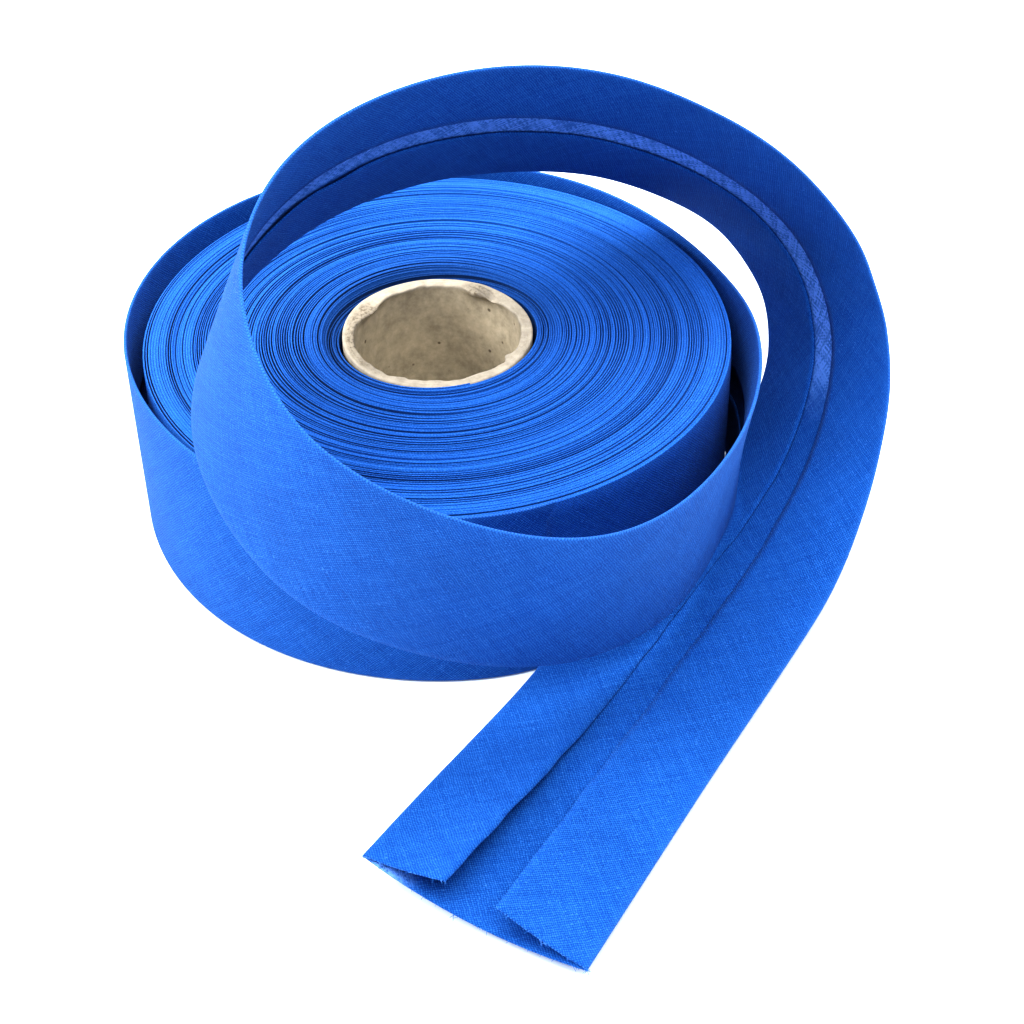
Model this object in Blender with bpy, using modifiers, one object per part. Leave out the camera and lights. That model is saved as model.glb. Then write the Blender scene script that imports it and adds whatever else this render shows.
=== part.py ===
"""Roll of bias binding.

A cardboard core, the folded cotton tape wound on it, and the tape's loose end, which has
sprung off the roll: one slack turn that still hugs it, a loop that climbs over the top and
comes down beside it, and a tail that runs out under the slack turn on to the table.
Metres, +Z up. The origin is on the table, under the middle of the whole piece.
"""

import math

import bmesh
import bpy
import numpy as np

MM = 0.001
NAME = "bias_binding_roll"

# Driving dimensions
TAPE_WIDTH = 40.0 * MM          # folded, from fold to fold
UPPER_FLAP = 17.5 * MM          # the flap turned in from the tape's upper edge
LOWER_FLAP = 15.5 * MM          # the flap turned in from its lower edge
LAYER = 1.0 * MM                # thickness of one layer of the loose end's solid
LAYER_STEP = 1.4 * MM           # middle of the base to the middle of a flap
ROLL_RADIUS = 58.2 * MM
CORE_RADIUS = 19.0 * MM
CORE_WALL = 2.3 * MM
CORE_HEIGHT = 39.6 * MM
LEAST_FLAP = 3.5 * MM           # the lower flap where its edge is tucked away
RELAX = 0.9                     # width gained by the folds, per height the flaps stand up
PLAY = 0.3 * MM                 # between the core and the first turn
ROLL_SIDES = 72
CORE_SIDES = 48
STATIONS = 92                   # sections along the loose end

# The wound turns stand at uneven heights. Each row is a group of turns:
# its outer radius and the height of its top, in mm.
WOUND_GROUPS = (
    ("first turns", 21.6, 38.3),
    ("second group", 24.2, 38.9),
    ("dished part", 28.0, 39.3),
    ("proud turns", 33.0, 39.9),
    ("low turns", 38.5, 39.5),
    ("middle", 45.0, 39.8),
    ("low outer turns", 51.5, 39.4),
    ("outer turns", 57.4, 39.7),
)
GROUP_STEP = 0.35               # width of the step between two groups, mm
ROLL_EDGE = 0.8                 # rounding of the last turn's edges, mm

# The loose end's route, from where it leaves the roll to the tail's cut end. Each row:
# x, y   the tape's middle, from the roll's axis, mm
# z      its height above the table, mm
# lean   how far its upper edge leans in over its inner side, degrees
# bow    how far the base bellies out between its folds, mm
# open   how far the flaps' free edges lift off the base, mm
# tuck   how much of its lower edge is left out where it is squeezed up between the roll
#        and the slack turn, out of sight, mm
ROUTE = (
    # x,     y,     z,    lean, bow, open, tuck
    (-6.5, -59.8, 20.1, 0, 0.0, 0.0, 0.0),        # on the roll, at the front
    (-45.8, -39.0, 20.1, 0, 0.0, 0.0, 0.0),
    (-61.5, 3.0, 20.1, -1, 0.0, 0.2, 0.0),        # left side, a little off the roll
    (-47.0, 44.0, 20.1, -1, 0.0, 0.2, 0.0),
    (-8.5, 63.8, 20.1, 0, 0.0, 0.2, 0.0),         # behind the roll
    (32.8, 52.0, 20.4, -1, 0.0, 0.2, 0.0),
    (59.6, 13.0, 21.4, 0, 0.0, 0.2, 0.0),
    (61.6, -7.6, 24.3, -3, 0.0, 0.2, 0.0),        # right side, rises and leans out
    (58.2, -26.2, 26.4, -8, 0.0, 0.2, 0.0),
    (46.5, -54.2, 29.6, -13, 0.0, 0.3, 0.0),
    (25.1, -75.8, 35.6, -19, 0.0, 0.3, 0.0),
    (0.6, -82.5, 45.2, -15, 0.0, 0.3, 0.0),       # front, widest off the roll
    (-21.7, -77.1, 57.0, -4, 0.2, 0.4, 0.0),
    (-35.2, -55.3, 71.2, 16, 0.3, 0.5, 0.0),      # left, starts over the roll
    (-30.3, -29.2, 80.1, 25, 0.4, 0.6, 0.0),
    (-12.4, -6.5, 83.1, 30, 0.4, 0.6, 0.0),       # top of the loop
    (31.7, 18.8, 73.5, 38, 0.4, 0.6, 0.0),
    (44.8, 22.9, 67.0, 41, 0.3, 0.5, 0.0),
    (59.3, 25.6, 56.9, 44, 0.3, 0.5, 0.0),
    (69.9, 25.7, 47.0, 37, 0.2, 0.4, 0.0),        # right shoulder, turns face up
    (77.1, 22.5, 36.1, 11, 0.2, 0.3, 0.0),
    (79.9, 16.1, 25.4, -25, 0.1, 0.2, 0.0),
    (78.8, 7.6, 16.2, -49, 0.1, 0.2, 2.0),
    (74.2, -2.5, 9.2, -61, 0.0, 0.1, 6.5),        # its lower edge goes under the slack turn
    (67.7, -14.0, 4.5, -72, 0.0, 0.1, 13.4),
    (59.2, -28.6, 2.6, -86, 0.0, 0.1, 15.6),
    (51.3, -42.6, 2.6, -91, 0.0, 0.1, 14.6),
    (43.5, -56.2, 2.7, -92, 0.0, 0.2, 8.6),
    (34.9, -71.0, 2.6, -92, 0.2, 0.3, 0.0),       # tail, flaps up
    (24.1, -89.3, 3.2, -94, 1.2, 1.6, 0.0),
    (7.2, -118.9, 5.4, -96, 2.7, 3.6, 0.0),       # cut end
)


def smooth_spline(knots, rows, at):
    """Smooth curve through the rows: a cubic spline whose end spans keep one bend."""
    step = np.diff(knots)
    count = len(knots)
    matrix = np.zeros((count, count))
    right = np.zeros((count, rows.shape[1]))
    matrix[0, :2] = matrix[-1, -2:] = 1.0, -1.0
    slope = np.diff(rows, axis=0) / step[:, None]
    for i in range(1, count - 1):
        matrix[i, i - 1:i + 2] = step[i - 1], 2.0 * (step[i - 1] + step[i]), step[i]
        right[i] = 6.0 * (slope[i] - slope[i - 1])
    bend = np.linalg.solve(matrix, right)
    i = np.clip(np.searchsorted(knots, at) - 1, 0, count - 2)
    h = step[i][:, None]
    a = ((knots[i + 1] - at) / step[i])[:, None]
    b = 1.0 - a
    return (a * rows[i] + b * rows[i + 1]
            + ((a ** 3 - a) * bend[i] + (b ** 3 - b) * bend[i + 1]) * h ** 2 / 6.0)


def tape_frames(count):
    """Middle line of the tape, with its width and inward directions, at even steps."""
    rows = np.array(ROUTE, dtype=float)
    reach = np.linalg.norm(np.diff(rows[:, :3], axis=0), axis=1)
    knots = np.concatenate([[0.0], np.cumsum(reach)])
    fine = smooth_spline(knots, rows, np.linspace(0.0, knots[-1], 2000))
    run = np.concatenate([[0.0], np.cumsum(np.linalg.norm(np.diff(fine[:, :3], axis=0), axis=1))])
    even = np.linspace(0.0, run[-1], count)
    line = np.stack([np.interp(even, run, fine[:, c]) for c in range(fine.shape[1])], axis=1)
    fine_dir = np.gradient(fine[:, :3], axis=0)
    along = np.stack([np.interp(even, run, fine_dir[:, c]) for c in range(3)], axis=1)
    along /= np.linalg.norm(along, axis=1)[:, None]
    upright = np.array([0.0, 0.0, 1.0]) - along * along[:, 2:3]
    upright /= np.linalg.norm(upright, axis=1)[:, None]
    side = np.cross(along, upright)
    lean = np.radians(line[:, 3])[:, None]
    across = upright * np.cos(lean) + side * np.sin(lean)
    inward = np.cross(along, across)
    tuck = np.maximum(line[:, 6], 0.0) * MM
    return line[:, :3] * MM, across, inward, line[:, 4] * MM, line[:, 5] * MM, tuck


def folded_section(bow, lift, tuck):
    """The tape's section, its layers' middle line: flap, fold, base, fold, flap.

    Across the tape from the lower edge to the upper one, and inward from the base.
    Where the flaps stand up, the folds relax and the tape is a little wider. The lower
    edge and its flap are narrower by the tuck.
    """
    half = (TAPE_WIDTH - LAYER + RELAX * lift) / 2.0
    bend = LAYER_STEP / 2.0
    low = -half + tuck
    points = []
    flap = max(LOWER_FLAP - tuck, LEAST_FLAP)
    for part in (1.0, 0.5, 0.0):
        reach = bend + (flap - LAYER / 2.0 - bend) * part
        points.append((low + reach, bend + lift * part ** 1.5))
    for step in (1, 2):
        turn = math.pi * step / 3.0
        points.append((low + bend - bend * math.sin(turn), bend * math.cos(turn)))
    for step in range(5):
        place = -1.0 + step / 2.0
        across = (low + half) / 2.0 + ((half - low) / 2.0 - bend) * place
        points.append((across, -bend - bow * (1.0 - place ** 2)))
    for step in (1, 2):
        turn = math.pi * step / 3.0
        points.append((half - bend + bend * math.sin(turn), -bend * math.cos(turn)))
    flap = UPPER_FLAP
    for part in (0.0, 0.5, 1.0):
        reach = bend + (flap - LAYER / 2.0 - bend) * part
        points.append((half - reach, bend + lift * part ** 1.5))
    return points


def new_object(name, mesh, collection, material):
    thing = bpy.data.objects.new(name, mesh)
    collection.objects.link(thing)
    mesh.materials.append(material)
    return thing


def new_material(name, colour, roughness):
    material = bpy.data.materials.new(name)
    material.use_nodes = True
    shader = material.node_tree.nodes["Principled BSDF"]
    shader.inputs["Base Color"].default_value = (*colour, 1.0)
    shader.inputs["Roughness"].default_value = roughness
    shader.inputs["Metallic"].default_value = 0.0
    material.diffuse_color = (*colour, 1.0)
    return material


def turned(name, profile, sides, collection, material):
    """A closed profile in the XZ plane, turned about Z."""
    mesh = bpy.data.meshes.new(name)
    work = bmesh.new()
    ring = [work.verts.new((radius, 0.0, height)) for radius, height in profile]
    for here, after in zip(ring, ring[1:] + ring[:1]):
        work.edges.new((here, after))
    work.to_mesh(mesh)
    work.free()
    thing = new_object(name, mesh, collection, material)
    screw = thing.modifiers.new("turn", 'SCREW')
    screw.axis = 'Z'
    screw.angle = 2.0 * math.pi
    screw.steps = sides
    screw.render_steps = sides
    screw.use_merge_vertices = True
    screw.merge_threshold = 0.00001
    screw.use_smooth_shade = True
    return thing


def make_core(collection, material):
    outer, inner, edge = CORE_RADIUS, CORE_RADIUS - CORE_WALL, 0.25 * MM
    profile = [
        (inner + edge, CORE_HEIGHT), (outer - edge, CORE_HEIGHT), (outer, CORE_HEIGHT - edge),
        (outer, edge), (outer - edge, 0.0), (inner + edge, 0.0),
        (inner, edge), (inner, CORE_HEIGHT - edge),
    ]
    return turned("core", profile, CORE_SIDES, collection, material)


def make_roll(collection, material):
    """The wound tape: a ring whose top steps from group to group of turns."""
    inner = CORE_RADIUS + PLAY
    edge = ROLL_EDGE * MM
    profile = [(inner, WOUND_GROUPS[0][2] * MM)]
    for (_, outer, height), (_, _, after) in zip(WOUND_GROUPS, WOUND_GROUPS[1:]):
        profile.append(((outer - GROUP_STEP) * MM, height * MM))
        profile.append((outer * MM, after * MM))
    last = WOUND_GROUPS[-1][2] * MM
    profile += [
        (ROLL_RADIUS - edge, last), (ROLL_RADIUS - 0.3 * edge, last - 0.3 * edge),
        (ROLL_RADIUS, last - edge), (ROLL_RADIUS, edge),
        (ROLL_RADIUS - 0.3 * edge, 0.3 * edge), (ROLL_RADIUS - edge, 0.0), (inner, 0.0),
    ]
    return turned("roll", profile, ROLL_SIDES, collection, material)


def make_loose_end(collection, material):
    """The folded section carried along the route, given its thickness by Solidify."""
    middle, across, inward, bow, lift, tuck = tape_frames(STATIONS)
    mesh = bpy.data.meshes.new("loose_end")
    work = bmesh.new()
    rows = []
    for i in range(STATIONS):
        row = []
        for u, v in folded_section(bow[i], lift[i], tuck[i]):
            row.append(work.verts.new(middle[i] + across[i] * u + inward[i] * v))
        rows.append(row)
    for before, after in zip(rows, rows[1:]):
        for j in range(len(before) - 1):
            face = work.faces.new((before[j], before[j + 1], after[j + 1], after[j]))
            face.smooth = True
    work.to_mesh(mesh)
    work.free()
    thing = new_object("loose_end", mesh, collection, material)
    shell = thing.modifiers.new("thickness", 'SOLIDIFY')
    shell.thickness = LAYER
    shell.offset = 0.0
    shell.use_even_offset = True
    return thing


def stand_on_origin(things):
    """Move everything so that the box's bottom centre is the origin."""
    bpy.context.view_layer.update()
    graph = bpy.context.evaluated_depsgraph_get()
    low, high = np.full(3, np.inf), np.full(3, -np.inf)
    for thing in things:
        mesh = thing.evaluated_get(graph).to_mesh()
        flat = np.empty(len(mesh.vertices) * 3)
        mesh.vertices.foreach_get("co", flat)
        low = np.minimum(low, flat.reshape(-1, 3).min(axis=0))
        high = np.maximum(high, flat.reshape(-1, 3).max(axis=0))
        thing.evaluated_get(graph).to_mesh_clear()
    for thing in things:
        thing.location = (-(low[0] + high[0]) / 2.0, -(low[1] + high[1]) / 2.0, 0.0)


def main():
    for thing in list(bpy.data.objects):
        bpy.data.objects.remove(thing, do_unlink=True)
    collection = bpy.data.collections.new(NAME)
    bpy.context.scene.collection.children.link(collection)
    cotton = new_material("cotton_tape", (0.016, 0.135, 0.745), 0.85)
    wound = new_material("wound_tape", (0.016, 0.135, 0.745), 0.9)
    board = new_material("cardboard", (0.48, 0.39, 0.27), 0.9)
    things = [
        make_core(collection, board),
        make_roll(collection, wound),
        make_loose_end(collection, cotton),
    ]
    stand_on_origin(things)


if __name__ == "__main__":
    main()
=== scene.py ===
"""Roll of bias binding: the visible tape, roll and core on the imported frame.

A cardboard core, the folded cotton tape wound on it turn by turn, and the tape's loose end:
a slack turn round the roll, a loop over its top and a tail on the table. Metres, +Z up.
"""

import math

import bpy
import numpy as np
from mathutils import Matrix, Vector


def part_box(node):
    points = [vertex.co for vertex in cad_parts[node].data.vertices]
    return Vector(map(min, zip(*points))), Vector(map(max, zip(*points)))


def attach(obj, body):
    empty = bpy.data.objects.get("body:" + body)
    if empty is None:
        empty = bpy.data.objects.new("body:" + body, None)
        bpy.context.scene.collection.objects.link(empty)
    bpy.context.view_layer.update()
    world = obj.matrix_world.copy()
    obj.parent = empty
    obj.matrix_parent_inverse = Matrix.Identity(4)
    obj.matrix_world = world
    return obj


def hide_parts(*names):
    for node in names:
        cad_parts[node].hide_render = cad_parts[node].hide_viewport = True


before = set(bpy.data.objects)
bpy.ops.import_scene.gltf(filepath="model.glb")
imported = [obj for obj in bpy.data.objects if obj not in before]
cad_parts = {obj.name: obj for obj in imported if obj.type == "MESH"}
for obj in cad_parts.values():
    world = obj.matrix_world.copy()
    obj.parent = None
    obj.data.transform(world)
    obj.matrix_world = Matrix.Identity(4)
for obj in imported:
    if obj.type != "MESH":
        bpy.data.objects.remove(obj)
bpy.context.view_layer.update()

bl_info = {
    "name": "Bias Binding Roll",
    "version": (1, 0, 0),
    "blender": (4, 5, 0),
    "location": "3D View > Sidebar > Binding",
    "description": "Builds a roll of folded cotton tape with its loose end",
    "category": "Add Mesh",
}

CORE_LOW, CORE_HIGH = (np.array(corner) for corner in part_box("core"))
ROLL_HIGH = np.array(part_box("roll")[1])
AXIS = (CORE_LOW + CORE_HIGH) / 2.0 * (1.0, 1.0, 0.0)
MM = 0.001
SEAM = math.radians(-70.0)      # where the loose end leaves the roll

# Heights of the wound turns: each row is a radius and the top's height there, mm.
TOP_LINE = (
    (19.3, 39.95), (21.4, 39.9), (24.2, 39.6), (28.0, 39.6), (32.0, 39.9),
    (36.0, 39.6), (45.0, 39.9), (51.0, 39.6), (55.0, 39.8), (58.4, 39.7),
)

# The loose end's route, from where it leaves the roll to the tail's cut end. Each row:
# x, y   the tape's middle, from the roll's axis, mm
# z      its height above the table, mm
# lean   how far its upper edge leans in over its inner side, degrees
# bow    how far the base bellies out between its folds, mm
# open   how far the flaps' free edges lift off the base, mm
# tuck   width of its lower edge that stands up beside the roll, where it runs under the slack turn, mm
ROUTE = (
    (23.47, -52.71, 19.8, 0, 0.0, 0.0, 0),
    (19.86, -54.56, 19.8, 0, 0.0, 0.0, 0),
    (5.06, -57.88, 19.8, 0, 0.0, 0.0, 0),
    (-27.3, -51.4, 19.9, 0, 0.0, 0.0, 0),
    (-45.0, -37.8, 20.0, 0, 0.0, 0.05, 0),
    (-61.5, 3.0, 20.1, -1, 0.0, 0.1, 0),
    (-47.0, 44.0, 20.1, -1, 0.0, 0.2, 0),
    (-8.5, 63.8, 20.1, 0, 0.0, 0.2, 0),
    (32.8, 52.0, 20.2, -1, 0.0, 0.2, 0),
    (59.2, 13.0, 21.2, 0, 0.0, 0.2, 0),
    (61.2, -7.6, 23.9, -3, 0.0, 0.2, 0),
    (58.0, -26.0, 25.8, -8, 0.0, 0.2, 0),
    (46.5, -54.2, 29.5, -13, 0.0, 0.2, 0),
    (25.1, -75.8, 35.6, -19, 0.0, 0.15, 0),
    (0.6, -82.5, 45.2, -15, 0.0, 0.1, 0),
    (-21.7, -77.1, 57.0, -4, 0.1, 0.05, 0),
    (-35.2, -55.3, 71.2, 16, 0.1, 0.05, 0),
    (-30.3, -29.2, 80.1, 25, 0.1, 0.05, 0),
    (-12.4, -6.5, 83.1, 30, 0.1, 0.05, 0),
    (31.3, 18.8, 73.8, 37, 0.1, 0.05, 0),
    (45.4, 22.9, 66.8, 41, 0.1, 0.05, 0),
    (59.0, 25.6, 57.4, 42.6, 0.1, 0.05, 0),
    (69.7, 25.7, 47.3, 37, 0.1, 0.05, 0),
    (77.1, 22.5, 36.1, 11.4, 0.1, 0.05, 0),
    (80.0, 16.1, 25.5, -25.6, 0.1, 0.05, 0),
    (78.6, 7.6, 16.5, -48.7, 0.1, 0.05, 0),
    (74.1, -2.5, 8.7, -61, 0.1, 0.05, 3.0),
    (67.7, -14.0, 4.2, -72, 0.1, 0.05, 12.3),
    (59.2, -28.6, 2.1, -86, 0.0, 0.05, 15.2),
    (51.3, -42.6, 2.6, -91, 0.0, 0.1, 14.2),
    (43.5, -56.2, 2.7, -92, 0.0, 0.1, 8.6),
    (34.9, -71.0, 2.6, -92, 0.2, 0.2, 0),
    (24.1, -89.3, 3.2, -94, 1.2, 1.3, 0),
    (7.2, -118.9, 5.4, -96, 2.7, 3.6, 0),
)
TUCK_RADIUS = 0.0016            # bend of the edge that stands up
JOG = (0.305, 0.292)            # where the lower flap's free edge jogs out and back, from the cut end
LIT_STRIP = ((0.141, 0.162), (0.37, 0.42))      # where light starts and stops showing through, same way
FRAYED_THREADS = 150

# The first turns sink in a hollow behind the core and stand up a little in front of it.
HOLLOW_BEARING = math.radians(130.0)
HOLLOW_DEPTH = 0.0025
FRONT_RISE = 0.0005
ROUNDS = 120                    # steps round the roll in one turn

# Places where the core's inner lip is torn or pressed: the bearing and the width in
# degrees, and how far the lip moves inwards there.
LIP = (
    (60.0, 9.0, 0.0022), (42.0, 14.0, 0.0006), (150.0, 15.0, 0.0017), (118.0, 14.0, 0.0005),
    (-122.0, 4.0, -0.0006), (-112.0, 3.0, 0.0005), (-31.0, 3.2, 0.0007), (-38.0, 3.0, -0.0004),
)
# The same for the rim's height, and where its board is pitted.
CRUSH = ((60.0, 7.0, 0.0007), (48.0, 5.0, -0.0006), (146.0, 8.0, -0.0005))
TORN = ((154.0, 10.0), (60.0, 10.0), (192.0, 38.0))

TOP_FUZZ_AND_LIGHT_COLOUR = (0.026, 0.158, 0.560)       # painted light on the roll's top, with the fuzz of its fold edges
LIT_COLOUR = (0.22, 0.44, 1.0)              # a single layer that light shows through
SHEEN_COLOUR = (0.35, 0.55, 1.0, 1.0)
SPECK_COLOUR = (0.08, 0.06, 0.04)           # dark specks in the board
PIT_COLOUR = (0.11, 0.085, 0.055)           # pits in the torn rim

FLOOR_REACH = 4.0
FLOOR_LEVEL = -0.0004
CAMERA_PLACE = (0.01445, -0.3551, 0.2876)   # from the roll's axis
CAMERA_TILT = math.radians(50.305)          # up from straight down
CAMERA_ROLL = math.radians(-0.656)
CAMERA_LENS = 76.67             # mm
SENSOR = 36.0                   # mm


# ---------------------------------------------------------------- settings

class RollSettings(bpy.types.PropertyGroup):
    turns: bpy.props.IntProperty(
        name="Turns", description="Turns of tape wound on the core", default=82, min=10, max=90)
    unevenness: bpy.props.FloatProperty(
        name="Unevenness", description="How far single turns stand up or sink",
        default=0.00020, min=0.0, max=0.001, unit='LENGTH', precision=5)
    gap_depth: bpy.props.FloatProperty(
        name="Gap depth", description="Depth of the widest gaps between turns",
        default=0.0016, min=0.0, max=0.004, unit='LENGTH', precision=5)
    gap_width: bpy.props.FloatProperty(
        name="Gap width", description="Width of the widest gaps between turns",
        default=0.00022, min=0.0, max=0.0004, unit='LENGTH', precision=5)


class TapeSettings(bpy.types.PropertyGroup):
    width: bpy.props.FloatProperty(
        name="Width", description="Folded width, from fold to fold",
        default=0.040, min=0.01, max=0.08, unit='LENGTH')
    upper_flap: bpy.props.FloatProperty(
        name="Upper flap", description="Width of the flap at the tape's upper edge",
        default=0.0175, min=0.002, max=0.02, unit='LENGTH')
    lower_flap: bpy.props.FloatProperty(
        name="Lower flap", description="Width of the flap at the tape's lower edge",
        default=0.0158, min=0.002, max=0.02, unit='LENGTH')
    cloth: bpy.props.FloatProperty(
        name="Cloth", description="Thickness of one layer of cotton",
        default=0.00026, min=0.0001, max=0.001, unit='LENGTH', precision=5)
    layer_step: bpy.props.FloatProperty(
        name="Layer step", description="From the middle of the base to the middle of a flap",
        default=0.00038, min=0.0002, max=0.002, unit='LENGTH', precision=5)
    thread: bpy.props.FloatProperty(
        name="Thread spacing", description="Distance between neighbouring threads",
        default=0.00042, min=0.0002, max=0.001, unit='LENGTH', precision=5)
    colour: bpy.props.FloatVectorProperty(
        name="Colour", description="Dyed cotton", subtype='COLOR',
        default=(0.008, 0.106, 0.380), min=0.0, max=1.0)
    # Painted shade between the threads, and the tone of darker threads and fibres.
    deep_colour: bpy.props.FloatVectorProperty(
        name="Deep colour", description="Cotton between the threads", subtype='COLOR',
        default=(0.001, 0.030, 0.190), min=0.0, max=1.0)
    # Painted highlight on thread tops and along the folds, and the tone of lint, thick threads and loose
    # fibres.
    pale_colour: bpy.props.FloatVectorProperty(
        name="Pale colour", description="Worn fibres on folds and thick threads",
        subtype='COLOR', default=(0.085, 0.240, 0.640), min=0.0, max=1.0)


class CoreSettings(bpy.types.PropertyGroup):
    wall: bpy.props.FloatProperty(
        name="Wall", description="Thickness of the cardboard",
        default=0.0023, min=0.0005, max=0.006, unit='LENGTH')
    colour: bpy.props.FloatVectorProperty(
        name="Board colour", description="Grey-brown board inside the tube",
        subtype='COLOR', default=(0.440, 0.380, 0.280), min=0.0, max=1.0)
    cut_colour: bpy.props.FloatVectorProperty(
        name="Cut colour", description="Paler board on the cut rim",
        subtype='COLOR', default=(0.455, 0.400, 0.315), min=0.0, max=1.0)


class StageSettings(bpy.types.PropertyGroup):
    floor_colour: bpy.props.FloatVectorProperty(
        name="Floor", description="Plain pale table", subtype='COLOR',
        default=(0.76, 0.82, 0.88), min=0.0, max=1.0)
    key_power: bpy.props.FloatProperty(
        name="Key light", description="Power of the broad light overhead",
        default=28.5, min=0.0, unit='POWER')
    fill_power: bpy.props.FloatProperty(
        name="Side light", description="Power of the light at the left",
        default=12.0, min=0.0, unit='POWER')


# ---------------------------------------------------------------- shapes

def smooth_spline(knots, rows, at):
    """Smooth curve through the rows: a cubic spline whose end spans keep one bend.

    The second derivatives solve the usual three-term equations, and each point is the
    straight mix of its two rows plus the cubic terms of those derivatives.
    """
    step = np.diff(knots)
    count = len(knots)
    matrix = np.diag(np.concatenate([[1.0], 2.0 * (step[:-1] + step[1:]), [1.0]]))
    matrix += np.diag(np.concatenate([[-1.0], step[1:]]), 1)
    matrix += np.diag(np.concatenate([step[:-1], [-1.0]]), -1)
    slope = np.diff(rows, axis=0) / step[:, None]
    right = np.zeros((count, rows.shape[1]))
    right[1:-1] = 6.0 * np.diff(slope, axis=0)
    bend = np.linalg.solve(matrix, right)
    i = np.clip(np.searchsorted(knots, at) - 1, 0, count - 2)
    h = step[i][:, None]
    a = ((knots[i + 1] - at) / step[i])[:, None]
    b = 1.0 - a
    return (a * rows[i] + b * rows[i + 1]
            + ((a ** 3 - a) * bend[i] + (b ** 3 - b) * bend[i + 1]) * h ** 2 / 6.0)


def wander(at, spacing, seed):
    """Even noise along a line: random values every spacing, joined by smooth steps."""
    values = np.random.default_rng(seed).uniform(-1.0, 1.0, 4096)
    place = np.asarray(at) / spacing + 1024.0
    low = np.floor(place).astype(int)
    part = place - low
    part = part * part * (3.0 - 2.0 * part)
    return values[low % 4096] * (1.0 - part) + values[(low + 1) % 4096] * part


def ease(value, low, high):
    """0 below low, 1 above high, and a smooth step between them."""
    part = np.clip((value - low) / (high - low), 0.0, 1.0)
    return part * part * (3.0 - 2.0 * part)


def tape_frames(step):
    """Middle line of the loose end, with its directions, at even steps.

    Along is the line's tangent. Upright is +Z less its part along the tangent. Across is
    upright turned by the lean towards along x upright, and inward is along x across.
    """
    rows = np.array(ROUTE, dtype=float)
    reach = np.linalg.norm(np.diff(rows[:, :3], axis=0), axis=1)
    knots = np.concatenate([[0.0], np.cumsum(reach)])
    fine = smooth_spline(knots, rows, np.linspace(0.0, knots[-1], 6000))
    run = np.concatenate([[0.0], np.cumsum(np.linalg.norm(np.diff(fine[:, :3], axis=0), axis=1))])
    count = int(round(run[-1] * MM / step))
    even = np.linspace(0.0, run[-1], count + 1)
    line = np.stack([np.interp(even, run, column) for column in fine.T], axis=1)
    slope = np.gradient(fine[:, :3], axis=0)
    along = np.stack([np.interp(even, run, column) for column in slope.T], axis=1)
    along /= np.linalg.norm(along, axis=1)[:, None]
    upright = np.array([0.0, 0.0, 1.0]) - along * along[:, 2:3]
    upright /= np.linalg.norm(upright, axis=1)[:, None]
    lean = np.radians(line[:, 3])[:, None]
    across = upright * np.cos(lean) + np.cross(along, upright) * np.sin(lean)
    inward = np.cross(along, across)
    return {
        "run": even * MM, "middle": line[:, :3] * MM + AXIS, "along": along,
        "across": across, "inward": inward, "bow": line[:, 4] * MM, "lift": line[:, 5] * MM,
        "tuck": np.maximum(line[:, 6], 0.0) * MM,
    }


def tape_sections(frames, tape):
    """The folded section at every station, as places across and inward, and the cloth's
    own places across its flat width.

    A flap rises from its fold by lift x part^1.5, the fold is a half circle, and the base
    bellies out by bow x (1 - place^2). The flaps' free edges wander a little.
    """
    run = frames["run"][:, None]
    lift, bow = frames["lift"][:, None], frames["bow"][:, None]
    bend = tape.layer_step / 2.0
    half = (tape.width - tape.cloth + 0.9 * lift) / 2.0
    part = np.linspace(1.0, 0.0, 13)[None, :]
    turn = np.linspace(0.0, math.pi, 7)[None, 1:-1]
    place = np.linspace(-1.0, 1.0, 27)[None, :]
    total = run[-1, 0]
    left = total - run
    kink = np.exp(-((left - JOG[0]) / 0.006) ** 2) - 0.8 * np.exp(-((left - JOG[1]) / 0.005) ** 2)
    low_flap = (tape.lower_flap + 0.00018 * wander(run, 0.006, 3)
                + 0.0008 * ease(left, 0.10, 0.20) * (1.0 - ease(left, 0.24, 0.34)) + 0.0007 * kink)
    high_flap = tape.upper_flap + 0.00016 * wander(run, 0.007, 5)
    ripple = 0.00006 * (1.0 + wander(run, 0.009, 7)) * part ** 2
    ripple_high = 0.00006 * (1.0 + wander(run, 0.011, 9)) * part ** 2
    low_across = -half + bend + (low_flap - bend) * part
    low_in = bend + lift * part ** 1.5 + ripple + 0.0003 * np.abs(kink) * part ** 3
    fold_low = -half + bend - bend * np.sin(turn)
    base_across = (half - bend) * place
    base_in = -bend - bow * (1.0 - place ** 2)
    fold_high = half - bend + bend * np.sin(turn)
    high_across = half - bend - (high_flap - bend) * part[:, ::-1]
    high_in = bend + lift * part[:, ::-1] ** 1.5 + ripple_high[:, ::-1]
    ones = np.ones_like(run)
    across = np.concatenate(
        [low_across, fold_low, base_across, fold_high, high_across], axis=1)
    inward = np.concatenate(
        [low_in, ones * bend * np.cos(turn), base_in, -ones * bend * np.cos(turn), high_in],
        axis=1)
    step = np.hypot(np.diff(across, axis=1), np.diff(inward, axis=1))
    flat = np.concatenate([ones * 0.0, np.cumsum(step, axis=1)], axis=1)
    low_edge, high_edge = low_across[:, :1], high_across[:, -1:]
    inside = np.zeros_like(across)
    base = slice(18, 45)
    inside[:, base] = ((base_across > low_edge) & (base_across < high_edge)).astype(float)
    # The fold arcs, which the finish paints with a highlight.
    rim = np.zeros_like(across)
    rim[:, 12:19] = np.sin(np.linspace(0.0, math.pi, 9))[None, 1:-1]
    rim[:, 44:51] = np.sin(np.linspace(0.0, math.pi, 9))[None, 1:-1]
    hinge = frames["tuck"][:, None] - half
    across, inward = turned_up(across, inward, hinge, frames["across"][:, 2:3])
    return across, inward, flat, inside, rim, total


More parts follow.
